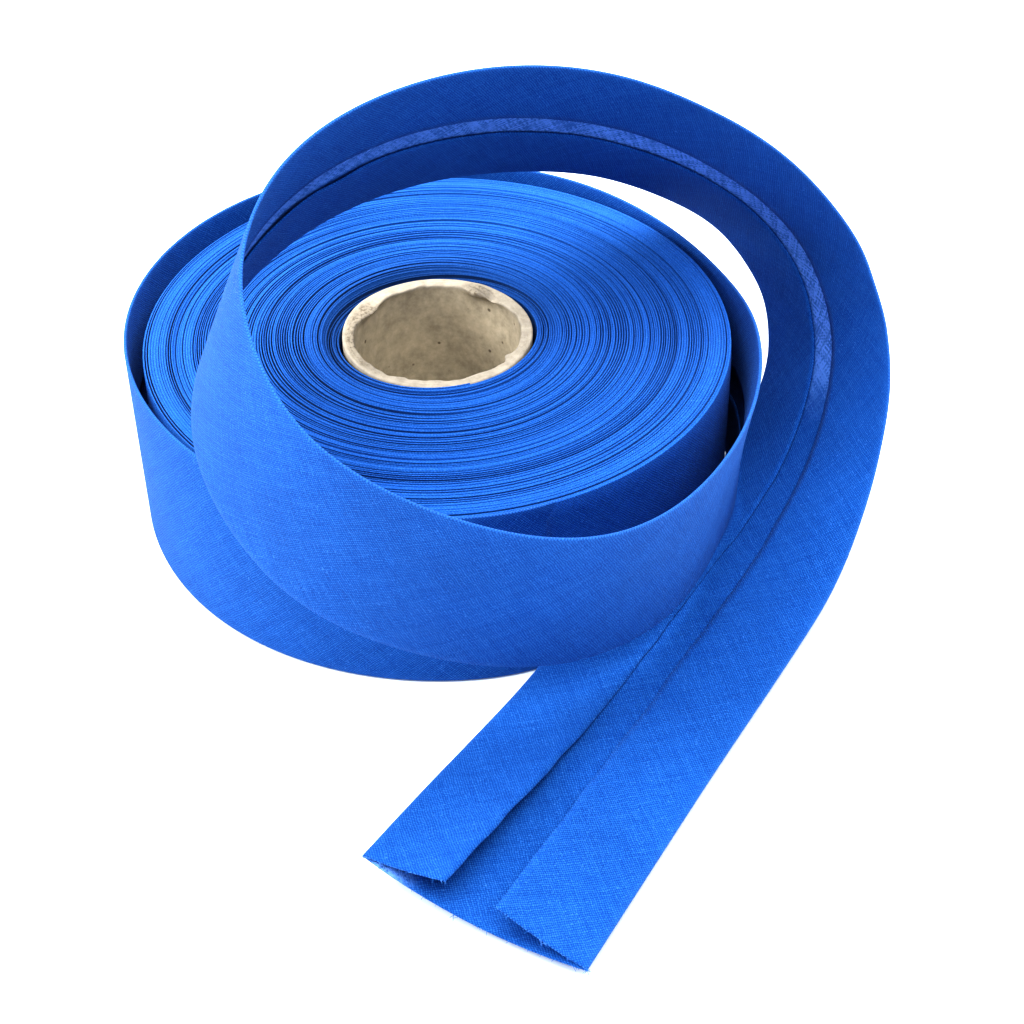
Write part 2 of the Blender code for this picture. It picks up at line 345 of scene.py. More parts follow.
def turned_up(across, inward, hinge, slope):
    """The section with its lower edge turned up beyond the hinge.

    With e the distance beyond the hinge, the turn's angle is e / radius, up to the angle
    that makes it upright: 89 degrees plus the arcsine of the tape's own slope. The section
    follows that arc and then its tangent, and every layer keeps its distance from it.
    """
    radius = TUCK_RADIUS
    most = math.radians(89.0) + np.arcsin(slope)
    beyond = np.maximum(hinge - across, 0.0)
    angle = np.minimum(beyond / radius, most)
    straight = np.maximum(beyond - radius * most, 0.0)
    new_across = hinge - radius * np.sin(angle) - straight * np.cos(angle) + inward * np.sin(angle)
    new_inward = radius * (1.0 - np.cos(angle)) + straight * np.sin(angle) + inward * np.cos(angle)
    return np.where(beyond > 0.0, new_across, across), np.where(beyond > 0.0, new_inward, inward)


def cloth_shell(points, thickness):
    """A closed shell round a grid of points: each point plus and minus half the thickness
    along its normal, which is the cross product of the steps across and along."""
    rows, columns = points.shape[:2]
    normal = np.cross(np.gradient(points, axis=1), np.gradient(points, axis=0))
    normal /= np.linalg.norm(normal, axis=2)[:, :, None]
    both = np.concatenate([points + normal * thickness / 2.0, points - normal * thickness / 2.0])
    numbers = np.arange(rows * columns).reshape(rows, columns)
    under = numbers + rows * columns
    outside = np.stack([numbers[:-1, :-1], numbers[:-1, 1:], numbers[1:, 1:], numbers[1:, :-1]], axis=2)
    inside = outside[:, :, ::-1] + rows * columns
    edges = []
    for line, below, turned in (
            (numbers[:, 0], under[:, 0], False), (numbers[:, -1], under[:, -1], True),
            (numbers[0], under[0], True), (numbers[-1], under[-1], False)):
        band = np.stack([line[:-1], line[1:], below[1:], below[:-1]], axis=1)
        edges.append(band[:, ::-1] if turned else band)
    return both.reshape(-1, 3), np.concatenate([outside.reshape(-1, 4), inside.reshape(-1, 4), *edges])


def mesh_piece(name, points, faces, uv=None, attributes=(), extra_faces=()):
    """A smooth mesh object from whole arrays, with a cloth map and point attributes."""
    mesh = bpy.data.meshes.new(name)
    corners = np.concatenate([faces.ravel()] + [np.array(f) for f in extra_faces]).astype(np.int32)
    sizes = np.concatenate(
        [np.full(len(faces), faces.shape[1])] + [[len(f)] for f in extra_faces]).astype(np.int32)
    starts = np.concatenate([[0], np.cumsum(sizes)[:-1]]).astype(np.int32)
    mesh.vertices.add(len(points))
    mesh.vertices.foreach_set("co", points.astype(np.float32).ravel())
    mesh.loops.add(len(corners))
    mesh.loops.foreach_set("vertex_index", corners)
    mesh.polygons.add(len(sizes))
    mesh.polygons.foreach_set("loop_start", starts)
    mesh.polygons.foreach_set("loop_total", sizes)
    mesh.update(calc_edges=True)
    mesh.validate()
    if uv is not None:
        layer = mesh.uv_layers.new(name="cloth")
        layer.data.foreach_set("uv", uv.astype(np.float32).ravel())
    for label, values in attributes:
        made = mesh.attributes.new(label, "FLOAT", "POINT")
        made.data.foreach_set("value", values.astype(np.float32).ravel())
    mesh.shade_smooth()
    piece = bpy.data.objects.new(name, mesh)
    bpy.context.scene.collection.objects.link(piece)
    return piece


def spiral_numbers(rows, columns, per_turn):
    """Point numbers of a spiral grid with one more row than it has points for: its last
    row is its first row moved out by one turn, plus per_turn new points."""
    numbers = np.arange(rows * columns).reshape(rows, columns)
    last = np.concatenate([numbers[0, per_turn:], rows * columns + np.arange(per_turn)])
    return np.vstack([numbers, last])


def wound_surface(settings):
    """The wound roll as one closed surface along its spiral.

    The turn number is t = n + phase, where the phase goes clockwise from the seam. The
    radius is R(t), an uneven but rising function. Across one turn the surface starts in
    the gap at R(t), climbs its rounded edge and goes down again to R(t + 1). The top's
    height is TOP_LINE(R) plus noise along the spiral, less a hollow in the first turns,
    and gaps sink by depth x strength^2. Returned with it are the faces, the two ends of the
    spiral, the cloth's map, the painted shade of the gaps, of the hollow and of the inner
    turns behind the core, and which points are the top, which the finish paints paler as painted light.
    """
    turns, rounds = settings.turns, ROUNDS
    inner, outer = CORE_HIGH[0] - AXIS[0] + 0.0003, ROLL_HIGH[0] - AXIS[0]
    pitch = 1.0 + 0.28 * wander(np.arange(turns) + 0.5, 1.0, 11)
    marks = np.concatenate([[0.0], np.cumsum(pitch)])
    marks = inner + (outer - inner) * marks / marks[-1]
    level = np.array(TOP_LINE).T * MM
    phase = np.arange(rounds + 1)[:, None] / rounds
    angle = SEAM - 2.0 * math.pi * phase
    lengths = np.concatenate([[0.0], np.cumsum(math.pi * (marks[1:] + marks[:-1]))])

    def radius(t):
        return np.interp(t, np.arange(turns + 1), marks)

    def gap(t):
        each = 0.5 + 0.5 * wander(t, 0.41, 13)
        group = 0.5 + 0.5 * wander(t, 1.9, 17)
        strength = ease(0.65 * each + 0.35 * group, 0.22, 0.72)
        return strength * ease(t, 0.0, 1.0) * (1.0 - ease(t, turns - 1.0, turns))

    def turn_top(t, middle):
        """Height of a turn's top: the first few sink behind the core and stand up in front."""
        hollow = (0.5 + 0.5 * np.cos(angle - HOLLOW_BEARING)) ** 1.2
        few = 1.0 - ease(t + 0.8 * wander(t, 0.6, 31), 4.5, 9.0)
        front = (0.5 - 0.5 * np.sin(angle)) * (1.0 - ease(t, 1.0, 4.0))
        return np.interp(middle, *level) - HOLLOW_DEPTH * hollow * few + FRONT_RISE * front

    def grid(per_turn, shares, top):
        column = np.arange(per_turn * (turns - 1) + 1)[None, :]
        share = np.array(shares)[column % per_turn] * np.ones_like(phase)
        t = column // per_turn + phase
        here, after = radius(t), radius(t + 1.0)
        before = radius(t - 1.0)
        slack = settings.gap_width * 0.5
        near, far = here + 0.00002 + slack * gap(t), after - 0.00002 - slack * gap(t + 1.0)
        across = np.where(share == 0.0, here, near + (far - near) * (share - 0.04) / 0.92)
        rise = settings.unevenness * (wander(t, 0.23, 19) + 0.9 * wander(t, 1.3, 23))
        if top:
            height = turn_top(t, (here + after) / 2.0) + rise
            height = height - 0.00004 * (np.abs(share - 0.5) > 0.3) - 0.00010 * (np.abs(share - 0.5) > 0.4)
            low_turn = turn_top(t - 1.0, (here + before) / 2.0)
            sink = (0.00035 + settings.gap_depth * gap(t) ** 2) * (1.0 - ease(t, turns - 1.5, turns - 1.0))
            height = np.where(share == 0.0, np.minimum(height, low_turn) - sink, height)
        else:
            height = np.where(share == 0.0, 0.00030, 0.00002 + 0.2 * np.abs(rise))
        points = np.stack([
            AXIS[0] + across * np.cos(angle), AXIS[1] + across * np.sin(angle), height], axis=2)
        step = np.linalg.norm(np.diff(points, axis=1), axis=2)
        start = (column[:, :-1] // per_turn) * per_turn
        total = np.concatenate([np.zeros_like(phase), np.cumsum(step, axis=1)], axis=1)
        base = np.take_along_axis(total, start * np.ones_like(step, dtype=int), axis=1)
        left, right = total[:, :-1] - base, total[:, 1:] - base
        length = np.interp(t[:, :-1], np.arange(turns + 1), lengths)
        # Painted shade: every gap between turns gets a dark value, more where it is wide and graded round the
        # roll, strongest at the left and weakest at the right; the sunk first turns and the inner turns
        # behind the core get painted shade too.
        bearing_share = 0.66 - 0.28 * np.cos(angle) - 0.12 * np.sin(angle)
        strength = np.where(share > 0.5, gap(t + 1.0), gap(t)) * bearing_share
        shade = (0.12 + 0.88 * strength) * (np.abs(share - 0.5) > 0.4)
        sunk = np.maximum(0.0, np.interp(here, *level) - turn_top(t, here))
        behind = (0.5 + 0.5 * np.cos(angle - math.radians(105.0))) ** 1.3
        shade = np.minimum(1.0, shade + 120.0 * sunk + 0.48 * behind * (1.0 - ease(t, 5.0, 22.0)))
        return points, left, right, length, shade

    def grid_uv(left, right, length, flip):
        corner = [(left[:-1], length[:-1]), (left[1:], length[1:]),
                  (right[1:], length[1:]), (right[:-1], length[:-1])]
        if flip:
            corner = corner[::-1]
        return np.stack([np.stack(pair, axis=2) for pair in corner], axis=2).reshape(-1, 2)

    def grid_faces(numbers, flip):
        quads = np.stack([numbers[:-1, :-1], numbers[1:, :-1], numbers[1:, 1:], numbers[:-1, 1:]], axis=2)
        return (quads[:, :, ::-1] if flip else quads).reshape(-1, 4)

    top, *top_map, top_shade = grid(7, (0.0, 0.04, 0.12, 0.37, 0.63, 0.88, 0.96), True)
    low, *low_map, _ = grid(2, (0.0, 0.5), False)
    top_numbers = spiral_numbers(rounds, top.shape[1], 7)
    low_numbers = spiral_numbers(rounds, low.shape[1], 2)
    top_points = np.concatenate([top[:-1].reshape(-1, 3), top[-1, -7:]])
    low_points = np.concatenate([low[:-1].reshape(-1, 3), low[-1, -2:]])
    low_numbers = low_numbers + len(top_points)
    points, faces = [top_points, low_points], [grid_faces(top_numbers, False), grid_faces(low_numbers, True)]
    maps = [grid_uv(*top_map, False), grid_uv(*low_map, True)]
    count = len(top_points) + len(low_points)
    rings = []
    for column, t0, down, outwards in ((-1, turns - 1.0, 12, 1.0), (0, 0.0, 6, -1.0)):
        part = np.linspace(0.0, 1.0, down + 1)[None, 1:-1, None]
        rim = np.minimum(1.0, 10.0 * np.minimum(part, 1.0 - part))
        head, foot = top[:, column, None, :], low[:, column, None, :]
        wall = head + (foot - head) * part
        t = t0 + phase
        swell = (0.00010 * rim[:, :, 0] * (1.0 + wander(t * 6.0 + 3.0 * part[:, :, 0], 1.0, 29))
                 if outwards > 0 else 0.0 * rim[:, :, 0] * phase)
        wall[:, :, 0] += swell * np.cos(angle)
        wall[:, :, 1] += swell * np.sin(angle)
        numbers = count + np.arange((rounds + 1) * (down - 1)).reshape(rounds + 1, down - 1)
        count += numbers.size
        numbers = np.concatenate(
            [top_numbers[:, column, None], numbers, low_numbers[:, column, None]], axis=1)
        points.append(wall.reshape(-1, 3))
        faces.append(grid_faces(numbers, outwards < 0))
        depth = np.linspace(0.0, CORE_HIGH[2], down + 1)[None, :] * np.ones_like(phase)
        length = np.interp(t, np.arange(turns + 1), lengths) * np.ones_like(depth[:, :-1])
        maps.append(grid_uv(depth[:, :-1], depth[:, 1:], length, outwards < 0))
        rings.append(numbers)
    outside, inside = rings
    ledge = [*top_numbers[-1, -8:], *outside[-1, 1:-1], *low_numbers[-1, -3:][::-1], *outside[0, 1:-1][::-1]]
    start = [*top_numbers[0, :8], *inside[-1, 1:-1], *low_numbers[0, :3][::-1], *inside[0, 1:-1][::-1]]
    points = np.concatenate(points)
    faces = np.concatenate(faces)
    ends = [np.array(ledge), np.array(start)]
    maps.append(np.zeros((len(ledge) + len(start), 2)))
    rest = np.zeros(len(points) - len(top_points))
    shade = np.concatenate([top_shade[:-1].ravel(), top_shade[-1, -7:], rest])
    # Painted light: every point of the top is marked for the paler colour.
    top_fuzz_and_light = np.concatenate([np.ones(len(top_points)), rest])
    return points, faces, ends, np.concatenate(maps), shade, top_fuzz_and_light


def core_surface(settings):
    """The cardboard tube as a closed grid: its profile carried round the axis.

    Each point is (radius, height) of a box-like profile with a slightly grooved rim. The
    inner lip moves inwards by the sum of bell curves round the axis, one for each row of
    LIP, and the rim's height by low noise and the bells of CRUSH. Returned with it are how
    much each point is cut rim, and how much it is torn.
    """
    sides = 288
    outer, high = CORE_HIGH[0] - AXIS[0], CORE_HIGH[2]
    wall = settings.wall
    angle = np.arange(sides)[:, None] / sides * 2.0 * math.pi
    profile = np.array(
        [(0.0, 0.02), (0.0, 0.35), (0.0, 0.65), (0.0, 0.90), (0.0, 0.975), (0.0, 0.990),
         (0.03, 0.9965), (0.10, 1.0), (0.20, 1.0), (0.30, 1.0), (0.36, 0.998), (0.42, 1.0), (0.52, 1.0),
         (0.60, 0.998), (0.68, 1.0), (0.78, 1.0), (0.86, 0.9995), (0.93, 0.998), (0.98, 0.995), (1.0, 0.989),
         (1.0, 0.980), (1.0, 0.968), (1.0, 0.95), (1.0, 0.92), (1.0, 0.88), (1.0, 0.80), (1.0, 0.70),
         (1.0, 0.60), (1.0, 0.45), (1.0, 0.30), (1.0, 0.15), (1.0, 0.02),
         (0.94, 0.0), (0.5, 0.0), (0.06, 0.0)])
    depth, level = profile[None, :, 0], profile[None, :, 1]
    turn = angle / (2.0 * math.pi)

    def bell(degrees, width):
        away = (np.degrees(angle) - degrees + 180.0) % 360.0 - 180.0
        return np.exp(-(away / width) ** 2)

    def round_noise(pieces, seed):
        values = np.random.default_rng(seed).uniform(-1.0, 1.0, pieces)
        place = turn * pieces
        low = np.floor(place).astype(int)
        part = place - low
        part = part * part * (3.0 - 2.0 * part)
        return values[low % pieces] * (1.0 - part) + values[(low + 1) % pieces] * part

    near_top = ease(level, 0.93, 0.995) * depth
    lip = (sum(push * bell(bearing, width) for bearing, width, push in LIP)
           + 0.00010 * round_noise(36, 41) + 0.00007 * round_noise(90, 43))
    inwards = wall * depth + lip * near_top ** 2 + 0.00012 * round_noise(14, 45) * depth
    crush = (sum(rise * bell(bearing, width) for bearing, width, rise in CRUSH)
             + 0.0002 * round_noise(24, 47) + 0.00010 * round_noise(70, 49))
    rumple = 0.00035 * bell(57.0, 13.0) * np.sin(depth * 17.0 + 9.0 * turn * 6.28 * 2.0)
    radius = outer - inwards + 0.00015 * round_noise(10, 51) * ease(level, 0.5, 1.0) - 0.00015
    height = high * level + (crush * depth + rumple * depth) * ease(level, 0.97, 0.997)
    points = np.stack([
        AXIS[0] + radius * np.cos(angle), AXIS[1] + radius * np.sin(angle),
        height * np.ones_like(angle)], axis=2)
    rows, columns = points.shape[:2]
    numbers = np.arange(rows * columns).reshape(rows, columns)
    numbers = np.vstack([numbers, numbers[:1]])
    numbers = np.hstack([numbers, numbers[:, :1]])
    faces = np.stack(
        [numbers[:-1, :-1], numbers[1:, :-1], numbers[1:, 1:], numbers[:-1, 1:]], axis=2)
    cut = ease(level, 0.975, 0.992) * np.ones_like(angle)
    pitted = np.minimum(1.0, sum(bell(bearing, width) for bearing, width in TORN))
    torn = cut * pitted * ease(depth, 0.10, 0.5)
    return points.reshape(-1, 3), faces.reshape(-1, 4), cut, torn


def strands(starts, ways, lengths, radius, seed):
    """Short bent threads as closed tubes of five sides.

    Each thread's line is start + way x length x s, plus a bend that grows with s squared,
    for s from 0 to 1, and its radius narrows a little to its end.
    """
    rng = np.random.default_rng(seed)
    count, rings, sides = len(starts), 6, 5
    s = np.linspace(0.0, 1.0, rings)[None, :, None]
    ways = ways / np.linalg.norm(ways, axis=1)[:, None]
    bend = rng.normal(0.0, 0.35, (count, 3)) * lengths[:, None]
    line = starts[:, None, :] + ways[:, None, :] * lengths[:, None, None] * s + bend[:, None, :] * s ** 2
    side = np.cross(ways, rng.normal(0.0, 1.0, (count, 3)))
    side /= np.linalg.norm(side, axis=1)[:, None]
    other = np.cross(ways, side)
    turn = np.arange(sides) / sides * 2.0 * math.pi
    ring = (side[:, None, None, :] * np.cos(turn)[None, None, :, None]
            + other[:, None, None, :] * np.sin(turn)[None, None, :, None])
    thick = radius * (1.0 - 0.5 * s)[:, :, None, :]
    tube = (line[:, :, None, :] + ring * thick).reshape(count, rings * sides, 3)
    i, j = np.meshgrid(np.arange(rings - 1), np.arange(sides), indexing="ij")
    after = (j + 1) % sides
    quads = np.stack([i * sides + j, i * sides + after, (i + 1) * sides + after, (i + 1) * sides + j], axis=2)
    offsets = np.arange(count)[:, None, None] * rings * sides
    quads = (quads.reshape(1, -1, 4) + offsets).reshape(-1, 4)
    first = np.arange(sides)[None, ::-1] + offsets[:, :, 0]
    last = np.arange(sides)[None, :] + (rings - 1) * sides + offsets[:, :, 0]
    return tube.reshape(-1, 3), quads, [*first, *last]


# ---------------------------------------------------------------- finishes

def node(tree, kind, inputs=(), **settings):
    """One shader node: settings are its own, and inputs are (socket, value or output)."""
    made = tree.nodes.new(kind)
    for key, value in settings.items():
        setattr(made, key, value)
    for socket, value in inputs:
        if isinstance(value, bpy.types.NodeSocket):
            tree.links.new(value, made.inputs[socket])
        else:
            made.inputs[socket].default_value = value
    return made


def calc(tree, operation, *values):
    """The output of one Math node on these values."""
    return node(tree, "ShaderNodeMath", enumerate(values), operation=operation).outputs[0]


def spread(tree, value, low, high, first, last):
    """The value moved from the range low to high on to the range first to last."""
    return node(
        tree, "ShaderNodeMapRange",
        [(0, value), (1, low), (2, high), (3, first), (4, last)]).outputs[0]


def blend_colour(tree, share, first, second):
    """A colour between two colours, by share."""
    made = node(tree, "ShaderNodeMix", data_type="RGBA", clamp_factor=True)
    for socket, value in ((0, share), (6, first), (7, second)):
        if isinstance(value, bpy.types.NodeSocket):
            tree.links.new(value, made.inputs[socket])
        elif socket:
            made.inputs[socket].default_value = (*value[:3], 1.0)
        else:
            made.inputs[socket].default_value = value
    return made.outputs[2]


def new_finish(name):
    """A material with a lone Principled shader: the material, its tree and the shader."""
    material = bpy.data.materials.new(name)
    material.use_nodes = True
    tree = material.node_tree
    return material, tree, tree.nodes["Principled BSDF"]


def cotton_finish(name, tape, rim_share=0.28):
    """Plain-woven cotton cut on the bias, so that its threads run at 45 degrees.

    a and b count the threads of the two families. A thread's roundness is |sin| across it,
    and which family is on top changes with the sign of sin(pi a) x sin(pi b). Where the
    tone is low, between the threads, the deep colour is painted shade; where it is high, on
    thread tops, the pale colour is a painted highlight; slubs and fuzz add random tone. The
    point attributes rim and gap give the painted highlight on the folds and the painted
    shade between the roll's turns and behind its core; two more give the painted light on
    the roll's top, with the fuzz of its fold edges, and the painted light through the strip
    between the flaps and at the cut's corner.
    """
    material, tree, shader = new_finish(name)
    cloth = node(tree, "ShaderNodeUVMap", uv_map="cloth").outputs[0]
    turned = node(
        tree, "ShaderNodeMapping", [(0, cloth), (2, (0.0, 0.0, math.radians(45.0))),
                                    (3, (1.0 / tape.thread,) * 3)]).outputs[0]
    parts = node(tree, "ShaderNodeSeparateXYZ", [(0, turned)])
    stray = node(tree, "ShaderNodeTexNoise", [
        ("Vector", cloth), ("Scale", 420.0), ("Detail", 2.0), ("Roughness", 0.6)])
    stray = node(tree, "ShaderNodeSeparateXYZ", [(0, stray.outputs["Color"])])
    a = calc(tree, "MULTIPLY_ADD", stray.outputs[0], 1.6, parts.outputs[0])
    b = calc(tree, "MULTIPLY_ADD", stray.outputs[1], 1.6, parts.outputs[1])
    wave_a = calc(tree, "SINE", calc(tree, "MULTIPLY", a, math.pi))
    wave_b = calc(tree, "SINE", calc(tree, "MULTIPLY", b, math.pi))
    over = calc(tree, "GREATER_THAN", calc(tree, "MULTIPLY", wave_a, wave_b), 0.0)
    round_a = calc(tree, "POWER", calc(tree, "ABSOLUTE", wave_a),
                   calc(tree, "MULTIPLY_ADD", over, 0.6, 0.35))
    round_b = calc(tree, "POWER", calc(tree, "ABSOLUTE", wave_b),
                   calc(tree, "MULTIPLY_ADD", over, -0.6, 0.95))
    bead = calc(tree, "MULTIPLY", round_a, round_b)
    slub = []
    for across_thread, along_thread, seed in ((a, b, 3.1), (b, a, 71.7)):
        number = calc(tree, "FLOOR", across_thread)
        place = node(tree, "ShaderNodeCombineXYZ", [
            (0, calc(tree, "MULTIPLY", number, 1.37)), (1, calc(tree, "MULTIPLY", along_thread, 0.045)),
            (2, seed)]).outputs[0]
        slub.append(node(tree, "ShaderNodeTexNoise", [
            ("Vector", place), ("Scale", 1.0), ("Detail", 1.0), ("Roughness", 0.5)]).outputs[0])
    chosen = node(
        tree, "ShaderNodeMix", [(0, over), (2, slub[1]), (3, slub[0])], data_type="FLOAT").outputs[0]
    own = node(tree, "ShaderNodeTexCoord").outputs["Object"]
    fuzz = node(tree, "ShaderNodeTexNoise", [
        ("Vector", own), ("Scale", 2600.0), ("Detail", 2.0), ("Roughness", 0.6)]).outputs[0]
    wear = node(tree, "ShaderNodeTexNoise", [
        ("Vector", own), ("Scale", 45.0), ("Detail", 3.0), ("Roughness", 0.6)]).outputs[0]
    thread_tone = calc(tree, "MULTIPLY_ADD", chosen, 2.4, -0.75)
    tone = calc(tree, "ADD", calc(tree, "MULTIPLY", thread_tone, 0.17),
                calc(tree, "ADD", calc(tree, "MULTIPLY", bead, 0.46), calc(tree, "MULTIPLY", fuzz, 0.38)))
    # Painted shade: low tone, between the threads, takes the deep colour; slubs and fuzz vary it at random.
    colour = blend_colour(tree, spread(tree, tone, 0.18, 0.72, 0.0, 1.0), tape.deep_colour, tape.colour)
    # Painted light: the roll's top is blended towards a paler colour, broken up by fibre fuzz.
    top_fuzz_and_light = node(tree, "ShaderNodeAttribute", attribute_name="top_fuzz_and_light").outputs["Fac"]
    top_fuzz_and_light = calc(tree, "MULTIPLY", top_fuzz_and_light, calc(tree, "MULTIPLY_ADD", fuzz, 0.8, 0.15))
    colour = blend_colour(tree, top_fuzz_and_light, colour, TOP_FUZZ_AND_LIGHT_COLOUR)
    # Painted highlight: the pale colour where the tone is high, on thread tops, and along the folds by the
    # rim attribute; lint specks are fibre tone.
    pale = spread(tree, tone, 0.55, 1.0, 0.0, 0.55)
    rim = node(tree, "ShaderNodeAttribute", attribute_name="rim").outputs["Fac"]
    fold_highlight = calc(tree, "MULTIPLY", rim, calc(tree, "MULTIPLY_ADD", bead, rim_share, 0.10))
    lint = spread(tree, fuzz, 0.66, 0.76, 0.0, 0.8)
    colour = blend_colour(
        tree, calc(tree, "MAXIMUM", lint, calc(tree, "MAXIMUM", pale, fold_highlight)), colour, tape.pale_colour)
    glow = node(tree, "ShaderNodeAttribute", attribute_name="painted_backlight").outputs["Fac"]
    holes = spread(tree, bead, 0.45, 0.05, 0.65, 1.0)
    streak = spread(tree, chosen, 0.40, 0.58, 0.32, 1.0)
    colour = blend_colour(
        tree, calc(tree, "MULTIPLY", glow, calc(tree, "MULTIPLY", streak, holes)), colour, LIT_COLOUR)
    # Painted shade: the gap attribute darkens the colour between the roll's turns and behind its core, on top
    # of random wear patches.
    gap = node(tree, "ShaderNodeAttribute", attribute_name="gap").outputs["Fac"]
    patch = spread(tree, wear, 0.3, 0.7, 0.93, 1.06)
    patch = calc(tree, "MULTIPLY", patch, calc(tree, "MULTIPLY_ADD", gap, -0.82, 1.0))
    shade = node(tree, "ShaderNodeMix", [(6, colour)], data_type="RGBA", blend_type="MULTIPLY")
    shade.inputs[0].default_value = 1.0
    grey = node(tree, "ShaderNodeCombineColor", [(0, patch), (1, patch), (2, patch)]).outputs[0]
    tree.links.new(grey, shade.inputs[7])
    tree.links.new(shade.outputs[2], shader.inputs["Base Color"])
    rough_fibres = calc(
        tree, "ADD", calc(tree, "MULTIPLY", thread_tone, 0.25), calc(tree, "MULTIPLY", fuzz, 0.25))
    relief = calc(tree, "ADD", calc(tree, "MULTIPLY", bead, 0.8), rough_fibres)
    bump = node(tree, "ShaderNodeBump", [("Strength", 0.8), ("Distance", 0.00010), ("Height", relief)])
    tree.links.new(bump.outputs[0], shader.inputs["Normal"])
    rough = spread(tree, bead, 0.0, 1.0, 0.95, 0.80)
    tree.links.new(rough, shader.inputs["Roughness"])
    shader.inputs["Specular IOR Level"].default_value = 0.20
    shader.inputs["Sheen Weight"].default_value = 0.10
    shader.inputs["Sheen Roughness"].default_value = 0.45
    shader.inputs["Sheen Tint"].default_value = SHEEN_COLOUR
    return material


def thread_finish(name, tape):
    """Loose cotton fibres, paler in random patches."""
    material, tree, shader = new_finish(name)
    own = node(tree, "ShaderNodeTexCoord").outputs["Object"]
    fuzz = node(tree, "ShaderNodeTexNoise", [("Vector", own), ("Scale", 1800.0), ("Detail", 2.0)]).outputs[0]
    colour = blend_colour(
        tree, spread(tree, fuzz, 0.35, 0.65, 0.0, 1.0),
        tape.colour, tape.pale_colour)
    tree.links.new(colour, shader.inputs["Base Color"])
    shader.inputs["Roughness"].default_value = 0.85
    shader.inputs["Specular IOR Level"].default_value = 0.2
    return material


def board_finish(name, core):
    """Grey-brown board with fibres and specks inside, and a paler layered cut rim."""
    material, tree, shader = new_finish(name)
    own = node(tree, "ShaderNodeTexCoord").outputs["Object"]
    fibres = node(tree, "ShaderNodeTexNoise", [
        ("Vector", own), ("Scale", 420.0), ("Detail", 6.0), ("Roughness", 0.7)]).outputs[0]
    clouds = node(tree, "ShaderNodeTexNoise", [
        ("Vector", own), ("Scale", 90.0), ("Detail", 3.0), ("Roughness", 0.6)]).outputs[0]
    specks = node(tree, "ShaderNodeTexVoronoi", [
        ("Vector", own), ("Scale", 210.0), ("Randomness", 1.0)]).outputs["Distance"]
    cut = node(tree, "ShaderNodeAttribute", attribute_name="cut").outputs["Fac"]
    body = blend_colour(
        tree, spread(tree, fibres, 0.3, 0.7, 0.0, 1.0),
        [0.72 * c for c in core.colour], [1.22 * c for c in core.colour])
    body = blend_colour(
        tree, spread(tree, clouds, 0.45, 0.75, 0.0, 0.35),
        body, [1.5 * c for c in core.colour])
    body = blend_colour(
        tree, spread(tree, specks, 0.10, 0.06, 0.0, 0.75),
        body, SPECK_COLOUR)
    rim = blend_colour(
        tree, spread(tree, fibres, 0.30, 0.62, 0.0, 1.0),
        [0.66 * c for c in core.cut_colour], core.cut_colour)
    torn = node(tree, "ShaderNodeAttribute", attribute_name="torn").outputs["Fac"]
    pits = node(tree, "ShaderNodeTexNoise", [
        ("Vector", own), ("Scale", 1300.0), ("Detail", 3.0), ("Roughness", 0.7)]).outputs[0]
    pits = spread(tree, pits, 0.48, 0.62, 0.36, 0.85)
    rim = blend_colour(tree, calc(tree, "MULTIPLY", torn, pits), rim, PIT_COLOUR)
    colour = blend_colour(tree, cut, body, rim)
    tree.links.new(colour, shader.inputs["Base Color"])
    bump = node(tree, "ShaderNodeBump", [("Strength", 0.7), ("Distance", 0.00012), ("Height", fibres)])
    tree.links.new(bump.outputs[0], shader.inputs["Normal"])
    shader.inputs["Roughness"].default_value = 0.88
    shader.inputs["Specular IOR Level"].default_value = 0.25
    return material


# ---------------------------------------------------------------- operators

class BINDING_OT_wound_roll(bpy.types.Operator):
    """Build the tape wound on the core, turn by turn"""

    bl_idname = "binding.wound_roll"
    bl_label = "Wound roll"

    def execute(self, context):
        scene = context.scene
        points, faces, ends, uv, shade, top_fuzz_and_light = wound_surface(scene.binding_roll)
        piece = mesh_piece("wound_roll", points, faces, uv=uv, extra_faces=ends, attributes=(
            ("gap", shade), ("top_fuzz_and_light", top_fuzz_and_light)))
        piece.data.materials.append(cotton_finish("wound_cotton", scene.binding_tape))
        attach(piece, "root")
        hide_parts("roll")
        return {'FINISHED'}


